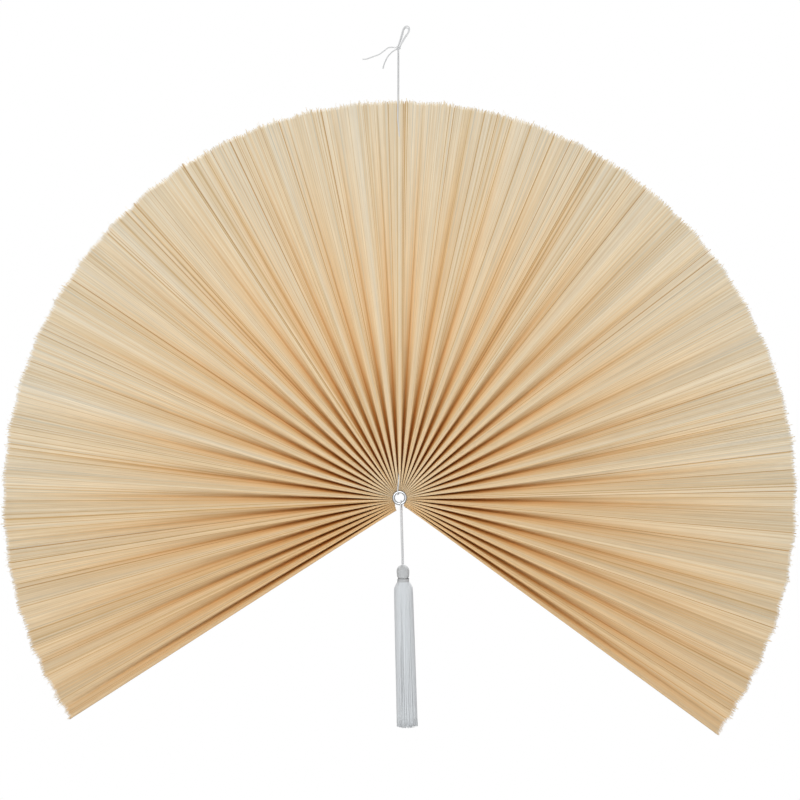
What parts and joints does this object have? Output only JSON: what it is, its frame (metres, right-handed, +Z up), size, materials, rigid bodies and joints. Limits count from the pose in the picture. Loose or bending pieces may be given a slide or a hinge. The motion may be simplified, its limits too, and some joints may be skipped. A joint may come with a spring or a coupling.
{
  "type": "bamboo wall fan",
  "caption": "Pleated bamboo wall fan: a wide round leaf of split slivers folded about an eyelet, with a cotton hanging cord, knot and loop above and a white tassel below.",
  "frame": {"origin": "inside the top of the hanging loop, where a nail carries the fan", "axes": "+Z up, the leaf lies in the XZ plane, its front faces -Y and its back faces the wall at +Y"},
  "size_m": [0.7938, 0.0219, 0.7118],
  "materials": {
    "bamboo": "matt split bamboo",
    "cotton": "twisted cotton",
    "nickel": "nickel plate"
  },
  "bodies": {
    "middle": {"pleat_21": "bamboo", "eyelet": "nickel", "eyelet_washer": "nickel", "binding_thread": "cotton", "hang_cord_front": "cotton", "hang_cord_rear": "cotton", "hang_knot": "cotton", "hang_loop_outer": "cotton", "hang_loop_inner": "cotton", "hang_tail_long": "cotton", "hang_tail_short": "cotton"},
    "pleat_01": {"pleat_01": "bamboo"},
    "pleat_02": {"pleat_02": "bamboo"},
    "pleat_03": {"pleat_03": "bamboo"},
    "pleat_04": {"pleat_04": "bamboo"},
    "pleat_05": {"pleat_05": "bamboo"},
    "pleat_06": {"pleat_06": "bamboo"},
    "pleat_07": {"pleat_07": "bamboo"},
    "pleat_08": {"pleat_08": "bamboo"},
    "pleat_09": {"pleat_09": "bamboo"},
    "pleat_10": {"pleat_10": "bamboo"},
    "pleat_11": {"pleat_11": "bamboo"},
    "pleat_12": {"pleat_12": "bamboo"},
    "pleat_13": {"pleat_13": "bamboo"},
    "pleat_14": {"pleat_14": "bamboo"},
    "pleat_15": {"pleat_15": "bamboo"},
    "pleat_16": {"pleat_16": "bamboo"},
    "pleat_17": {"pleat_17": "bamboo"},
    "pleat_18": {"pleat_18": "bamboo"},
    "pleat_19": {"pleat_19": "bamboo"},
    "pleat_20": {"pleat_20": "bamboo"},
    "pleat_22": {"pleat_22": "bamboo"},
    "pleat_23": {"pleat_23": "bamboo"},
    "pleat_24": {"pleat_24": "bamboo"},
    "pleat_25": {"pleat_25": "bamboo"},
    "pleat_26": {"pleat_26": "bamboo"},
    "pleat_27": {"pleat_27": "bamboo"},
    "pleat_28": {"pleat_28": "bamboo"},
    "pleat_29": {"pleat_29": "bamboo"},
    "pleat_30": {"pleat_30": "bamboo"},
    "pleat_31": {"pleat_31": "bamboo"},
    "pleat_32": {"pleat_32": "bamboo"},
    "pleat_33": {"pleat_33": "bamboo"},
    "pleat_34": {"pleat_34": "bamboo"},
    "pleat_35": {"pleat_35": "bamboo"},
    "pleat_36": {"pleat_36": "bamboo"},
    "pleat_37": {"pleat_37": "bamboo"},
    "pleat_38": {"pleat_38": "bamboo"},
    "pleat_39": {"pleat_39": "bamboo"},
    "pleat_40": {"pleat_40": "bamboo"},
    "pleat_41": {"pleat_41": "bamboo"},
    "tassel_cord": {"tassel_cord": "cotton"},
    "tassel": {"tassel_head": "cotton", "tassel_neck_band": "cotton", "tassel_skirt": "cotton"}
  },
  "joints": [
    {"name": "leaf_fold", "type": "hinge", "parent": "middle", "child": "pleat_01", "pos_m": [-0.00736, -0.0095, -0.47126], "axis": [0, -1, 0], "range_deg": [0, 121.34], "deforming": ["pleat_01", "pleat_21"]},
    {"name": "pleat_02_fold", "type": "hinge", "parent": "middle", "child": "pleat_02", "pos_m": [-0.00736, -0.0095, -0.47126], "axis": [0, -1, 0], "range_deg": [0, 118.1], "deforming": ["pleat_02"]},
    {"name": "pleat_03_fold", "type": "hinge", "parent": "middle", "child": "pleat_03", "pos_m": [-0.00736, -0.0095, -0.47126], "axis": [0, -1, 0], "range_deg": [0, 114.28], "deforming": ["pleat_03"]},
    {"name": "pleat_04_fold", "type": "hinge", "parent": "middle", "child": "pleat_04", "pos_m": [-0.00736, -0.0095, -0.47126], "axis": [0, -1, 0], "range_deg": [0, 110.06], "deforming": ["pleat_04"]},
    {"name": "pleat_05_fold", "type": "hinge", "parent": "middle", "child": "pleat_05", "pos_m": [-0.00736, -0.0095, -0.47126], "axis": [0, -1, 0], "range_deg": [0, 104.37], "deforming": ["pleat_05"]},
    {"name": "pleat_06_fold", "type": "hinge", "parent": "middle", "child": "pleat_06", "pos_m": [-0.00736, -0.0095, -0.47126], "axis": [0, -1, 0], "range_deg": [0, 97.99], "deforming": ["pleat_06"]},
    {"name": "pleat_07_fold", "type": "hinge", "parent": "middle", "child": "pleat_07", "pos_m": [-0.00736, -0.0095, -0.47126], "axis": [0, -1, 0], "range_deg": [0, 91.11], "deforming": ["pleat_07"]},
    {"name": "pleat_08_fold", "type": "hinge", "parent": "middle", "child": "pleat_08", "pos_m": [-0.00736, -0.0095, -0.47126], "axis": [0, -1, 0], "range_deg": [0, 84.61], "deforming": ["pleat_08"]},
    {"name": "pleat_09_fold", "type": "hinge", "parent": "middle", "child": "pleat_09", "pos_m": [-0.00736, -0.0095, -0.47126], "axis": [0, -1, 0], "range_deg": [0, 78.42], "deforming": ["pleat_09"]},
    {"name": "pleat_10_fold", "type": "hinge", "parent": "middle", "child": "pleat_10", "pos_m": [-0.00736, -0.0095, -0.47126], "axis": [0, -1, 0], "range_deg": [0, 71.94], "deforming": ["pleat_10"]},
    {"name": "pleat_11_fold", "type": "hinge", "parent": "middle", "child": "pleat_11", "pos_m": [-0.00736, -0.0095, -0.47126], "axis": [0, -1, 0], "range_deg": [0, 65.41], "deforming": ["pleat_11"]},
    {"name": "pleat_12_fold", "type": "hinge", "parent": "middle", "child": "pleat_12", "pos_m": [-0.00736, -0.0095, -0.47126], "axis": [0, -1, 0], "range_deg": [0, 58.5], "deforming": ["pleat_12"]},
    {"name": "pleat_13_fold", "type": "hinge", "parent": "middle", "child": "pleat_13", "pos_m": [-0.00736, -0.0095, -0.47126], "axis": [0, -1, 0], "range_deg": [0, 51.95], "deforming": ["pleat_13"]},
    {"name": "pleat_14_fold", "type": "hinge", "parent": "middle", "child": "pleat_14", "pos_m": [-0.00736, -0.0095, -0.47126], "axis": [0, -1, 0], "range_deg": [0, 45.92], "deforming": ["pleat_14"]},
    {"name": "pleat_15_fold", "type": "hinge", "parent": "middle", "child": "pleat_15", "pos_m": [-0.00736, -0.0095, -0.47126], "axis": [0, -1, 0], "range_deg": [0, 39.23], "deforming": ["pleat_15"]},
    {"name": "pleat_16_fold", "type": "hinge", "parent": "middle", "child": "pleat_16", "pos_m": [-0.00736, -0.0095, -0.47126], "axis": [0, -1, 0], "range_deg": [0, 32.91], "deforming": ["pleat_16"]},
    {"name": "pleat_17_fold", "type": "hinge", "parent": "middle", "child": "pleat_17", "pos_m": [-0.00736, -0.0095, -0.47126], "axis": [0, -1, 0], "range_deg": [0, 25.74], "deforming": ["pleat_17"]},
    {"name": "pleat_18_fold", "type": "hinge", "parent": "middle", "child": "pleat_18", "pos_m": [-0.00736, -0.0095, -0.47126], "axis": [0, -1, 0], "range_deg": [0, 19.21], "deforming": ["pleat_18"]},
    {"name": "pleat_19_fold", "type": "hinge", "parent": "middle", "child": "pleat_19", "pos_m": [-0.00736, -0.0095, -0.47126], "axis": [0, -1, 0], "range_deg": [0, 13.24], "deforming": ["pleat_19"]},
    {"name": "pleat_20_fold", "type": "hinge", "parent": "middle", "child": "pleat_20", "pos_m": [-0.00736, -0.0095, -0.47126], "axis": [0, -1, 0], "range_deg": [0, 6.25], "deforming": ["pleat_20"]},
    {"name": "pleat_22_fold", "type": "hinge", "parent": "middle", "child": "pleat_22", "pos_m": [-0.00736, -0.0095, -0.47126], "axis": [0, -1, 0], "range_deg": [-6.45, 0], "deforming": ["pleat_22"]},
    {"name": "pleat_23_fold", "type": "hinge", "parent": "middle", "child": "pleat_23", "pos_m": [-0.00736, -0.0095, -0.47126], "axis": [0, -1, 0], "range_deg": [-12.68, 0], "deforming": ["pleat_23"]},
    {"name": "pleat_24_fold", "type": "hinge", "parent": "middle", "child": "pleat_24", "pos_m": [-0.00736, -0.0095, -0.47126], "axis": [0, -1, 0], "range_deg": [-19.43, 0], "deforming": ["pleat_24"]},
    {"name": "pleat_25_fold", "type": "hinge", "parent": "middle", "child": "pleat_25", "pos_m": [-0.00736, -0.0095, -0.47126], "axis": [0, -1, 0], "range_deg": [-25.53, 0], "deforming": ["pleat_25"]},
    {"name": "pleat_26_fold", "type": "hinge", "parent": "middle", "child": "pleat_26", "pos_m": [-0.00736, -0.0095, -0.47126], "axis": [0, -1, 0], "range_deg": [-32.12, 0], "deforming": ["pleat_26"]},
    {"name": "pleat_27_fold", "type": "hinge", "parent": "middle", "child": "pleat_27", "pos_m": [-0.00736, -0.0095, -0.47126], "axis": [0, -1, 0], "range_deg": [-37.94, 0], "deforming": ["pleat_27"]},
    {"name": "pleat_28_fold", "type": "hinge", "parent": "middle", "child": "pleat_28", "pos_m": [-0.00736, -0.0095, -0.47126], "axis": [0, -1, 0], "range_deg": [-44.45, 0], "deforming": ["pleat_28"]},
    {"name": "pleat_29_fold", "type": "hinge", "parent": "middle", "child": "pleat_29", "pos_m": [-0.00736, -0.0095, -0.47126], "axis": [0, -1, 0], "range_deg": [-50.72, 0], "deforming": ["pleat_29"]},
    {"name": "pleat_30_fold", "type": "hinge", "parent": "middle", "child": "pleat_30", "pos_m": [-0.00736, -0.0095, -0.47126], "axis": [0, -1, 0], "range_deg": [-57.18, 0], "deforming": ["pleat_30"]},
    {"name": "pleat_31_fold", "type": "hinge", "parent": "middle", "child": "pleat_31", "pos_m": [-0.00736, -0.0095, -0.47126], "axis": [0, -1, 0], "range_deg": [-63.41, 0], "deforming": ["pleat_31"]},
    {"name": "pleat_32_fold", "type": "hinge", "parent": "middle", "child": "pleat_32", "pos_m": [-0.00736, -0.0095, -0.47126], "axis": [0, -1, 0], "range_deg": [-70.35, 0], "deforming": ["pleat_32"]},
    {"name": "pleat_33_fold", "type": "hinge", "parent": "middle", "child": "pleat_33", "pos_m": [-0.00736, -0.0095, -0.47126], "axis": [0, -1, 0], "range_deg": [-76.53, 0], "deforming": ["pleat_33"]},
    {"name": "pleat_34_fold", "type": "hinge", "parent": "middle", "child": "pleat_34", "pos_m": [-0.00736, -0.0095, -0.47126], "axis": [0, -1, 0], "range_deg": [-83.11, 0], "deforming": ["pleat_34"]},
    {"name": "pleat_35_fold", "type": "hinge", "parent": "middle", "child": "pleat_35", "pos_m": [-0.00736, -0.0095, -0.47126], "axis": [0, -1, 0], "range_deg": [-89.19, 0], "deforming": ["pleat_35"]},
    {"name": "pleat_36_fold", "type": "hinge", "parent": "middle", "child": "pleat_36", "pos_m": [-0.00736, -0.0095, -0.47126], "axis": [0, -1, 0], "range_deg": [-95.7, 0], "deforming": ["pleat_36"]},
    {"name": "pleat_37_fold", "type": "hinge", "parent": "middle", "child": "pleat_37", "pos_m": [-0.00736, -0.0095, -0.47126], "axis": [0, -1, 0], "range_deg": [-101.73, 0], "deforming": ["pleat_37"]},
    {"name": "pleat_38_fold", "type": "hinge", "parent": "middle", "child": "pleat_38", "pos_m": [-0.00736, -0.0095, -0.47126], "axis": [0, -1, 0], "range_deg": [-107.51, 0], "deforming": ["pleat_38"]},
    {"name": "pleat_39_fold", "type": "hinge", "parent": "middle", "child": "pleat_39", "pos_m": [-0.00736, -0.0095, -0.47126], "axis": [0, -1, 0], "range_deg": [-111.68, 0], "deforming": ["pleat_39"]},
    {"name": "pleat_40_fold", "type": "hinge", "parent": "middle", "child": "pleat_40", "pos_m": [-0.00736, -0.0095, -0.47126], "axis": [0, -1, 0], "range_deg": [-116.05, 0], "deforming": ["pleat_40"]},
    {"name": "pleat_41_fold", "type": "hinge", "parent": "middle", "child": "pleat_41", "pos_m": [-0.00736, -0.0095, -0.47126], "axis": [0, -1, 0], "range_deg": [-118.66, 0], "deforming": ["pleat_41"]},
    {"name": "tassel_swing", "type": "hinge", "parent": "middle", "child": "tassel_cord", "pos_m": [-0.00596, -0.0095, -0.47491], "axis": [0, -1, 0], "range_deg": [-30, 30]},
    {"name": "tassel_tilt", "type": "hinge", "parent": "tassel_cord", "child": "tassel", "pos_m": [-0.00418, -0.0095, -0.53863], "axis": [0, -1, 0], "range_deg": [-20, 20]}
  ],
  "couplings": [
    {"joint": "pleat_02_fold", "follows": "leaf_fold", "ratio": 0.97329},
    {"joint": "pleat_03_fold", "follows": "leaf_fold", "ratio": 0.94179},
    {"joint": "pleat_04_fold", "follows": "leaf_fold", "ratio": 0.90699},
    {"joint": "pleat_05_fold", "follows": "leaf_fold", "ratio": 0.8601},
    {"joint": "pleat_06_fold", "follows": "leaf_fold", "ratio": 0.80752},
    {"joint": "pleat_07_fold", "follows": "leaf_fold", "ratio": 0.75087},
    {"joint": "pleat_08_fold", "follows": "leaf_fold", "ratio": 0.69728},
    {"joint": "pleat_09_fold", "follows": "leaf_fold", "ratio": 0.64628},
    {"joint": "pleat_10_fold", "follows": "leaf_fold", "ratio": 0.59287},
    {"joint": "pleat_11_fold", "follows": "leaf_fold", "ratio": 0.53906},
    {"joint": "pleat_12_fold", "follows": "leaf_fold", "ratio": 0.48211},
    {"joint": "pleat_13_fold", "follows": "leaf_fold", "ratio": 0.42814},
    {"joint": "pleat_14_fold", "follows": "leaf_fold", "ratio": 0.37844},
    {"joint": "pleat_15_fold", "follows": "leaf_fold", "ratio": 0.32326},
    {"joint": "pleat_16_fold", "follows": "leaf_fold", "ratio": 0.27118},
    {"joint": "pleat_17_fold", "follows": "leaf_fold", "ratio": 0.21209},
    {"joint": "pleat_18_fold", "follows": "leaf_fold", "ratio": 0.15829},
    {"joint": "pleat_19_fold", "follows": "leaf_fold", "ratio": 0.10912},
    {"joint": "pleat_20_fold", "follows": "leaf_fold", "ratio": 0.051515},
    {"joint": "pleat_22_fold", "follows": "leaf_fold", "ratio": -0.053157},
    {"joint": "pleat_23_fold", "follows": "leaf_fold", "ratio": -0.10451},
    {"joint": "pleat_24_fold", "follows": "leaf_fold", "ratio": -0.16011},
    {"joint": "pleat_25_fold", "follows": "leaf_fold", "ratio": -0.21041},
    {"joint": "pleat_26_fold", "follows": "leaf_fold", "ratio": -0.26465},
    {"joint": "pleat_27_fold", "follows": "leaf_fold", "ratio": -0.31264},
    {"joint": "pleat_28_fold", "follows": "leaf_fold", "ratio": -0.36631},
    {"joint": "pleat_29_fold", "follows": "leaf_fold", "ratio": -0.41798},
    {"joint": "pleat_30_fold", "follows": "leaf_fold", "ratio": -0.47122},
    {"joint": "pleat_31_fold", "follows": "leaf_fold", "ratio": -0.52253},
    {"joint": "pleat_32_fold", "follows": "leaf_fold", "ratio": -0.57978},
    {"joint": "pleat_33_fold", "follows": "leaf_fold", "ratio": -0.63072},
    {"joint": "pleat_34_fold", "follows": "leaf_fold", "ratio": -0.68489},
    {"joint": "pleat_35_fold", "follows": "leaf_fold", "ratio": -0.73497},
    {"joint": "pleat_36_fold", "follows": "leaf_fold", "ratio": -0.78866},
    {"joint": "pleat_37_fold", "follows": "leaf_fold", "ratio": -0.83833},
    {"joint": "pleat_38_fold", "follows": "leaf_fold", "ratio": -0.886},
    {"joint": "pleat_39_fold", "follows": "leaf_fold", "ratio": -0.92034},
    {"joint": "pleat_40_fold", "follows": "leaf_fold", "ratio": -0.95638},
    {"joint": "pleat_41_fold", "follows": "leaf_fold", "ratio": -0.97785}
  ]
}
